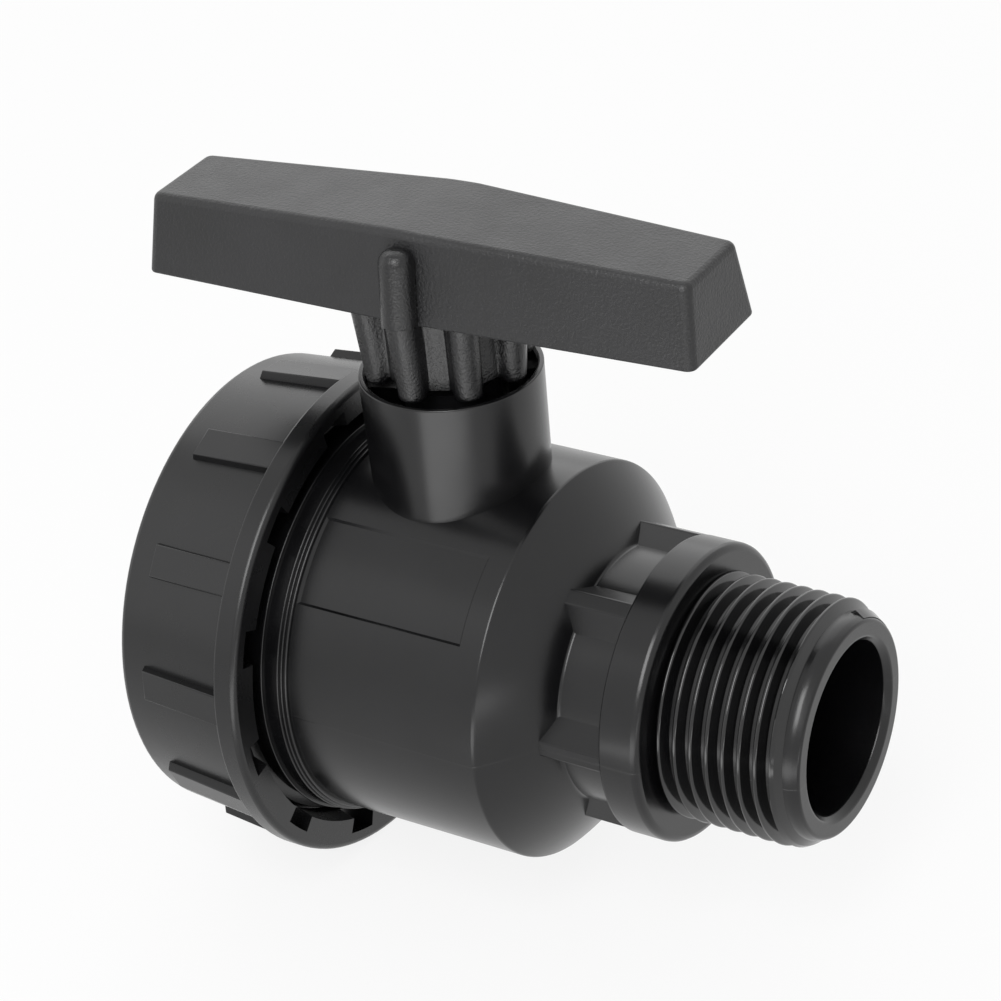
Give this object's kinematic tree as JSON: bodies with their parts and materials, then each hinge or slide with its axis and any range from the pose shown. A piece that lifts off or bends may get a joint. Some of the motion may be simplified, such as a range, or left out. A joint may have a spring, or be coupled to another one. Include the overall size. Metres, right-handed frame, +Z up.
{
  "type": "union ball valve",
  "caption": "Moulded plastic ball valve with a straight lever bar on a fluted hub, an outer-threaded spigot end, and an inner-threaded end held on by a ribbed union nut.",
  "frame": {"origin": "centre of the ball, where the flow axis and the stem axis cross", "axes": "+X along the flow towards the outer-threaded end, +Z up the stem towards the handle, +Y across, away from the side with the bare label pad"},
  "size_m": [0.099, 0.07, 0.1],
  "materials": {
    "black_plastic": "satin, lightly mottled, moulded",
    "handle_plastic": "matt, fine grain",
    "stem_plastic": "satin",
    "ball_plastic": "polished",
    "seat_white": "smooth, waxy",
    "seal_rubber": "smooth, matt"
  },
  "bodies": {
    "body": {"valve_body": "black_plastic", "outlet_seat": "seat_white", "inlet_seat": "seat_white", "outlet_seat_ring": "seal_rubber", "inlet_seat_ring": "seal_rubber", "seat_carrier": "stem_plastic", "carrier_ring": "seal_rubber", "union_ring": "seal_rubber"},
    "lever": {"handle": "handle_plastic", "stem": "stem_plastic", "stem_washer": "seat_white", "stem_ring_lower": "seal_rubber", "stem_ring_upper": "seal_rubber"},
    "ball": {"ball": "ball_plastic"},
    "connector": {"end_connector": "black_plastic"},
    "nut": {"union_nut": "black_plastic"}
  },
  "joints": [
    {"name": "handle_turn", "type": "hinge", "parent": "body", "child": "lever", "pos_m": [0, 0, 0.03], "axis": [0, 0, 1], "range_deg": [-91.8, 0]},
    {"name": "ball_turn", "type": "hinge", "parent": "body", "child": "ball", "pos_m": [0, 0, 0], "axis": [0, 0, 1], "range_deg": [-91.8, 0]},
    {"name": "union_slide", "type": "slide", "parent": "body", "child": "connector", "axis": [-1, 0, 0], "range_m": [0, 0.011]},
    {"name": "nut_spin", "type": "hinge", "parent": "connector", "child": "nut", "pos_m": [-0.03, 0, 0], "axis": [-1, 0, 0], "range_deg": [0, 990]}
  ],
  "couplings": [
    {"joint": "ball_turn", "follows": "handle_turn", "ratio": 1},
    {"joint": "nut_spin", "follows": "union_slide", "rad_per_m": 1570.8}
  ]
}
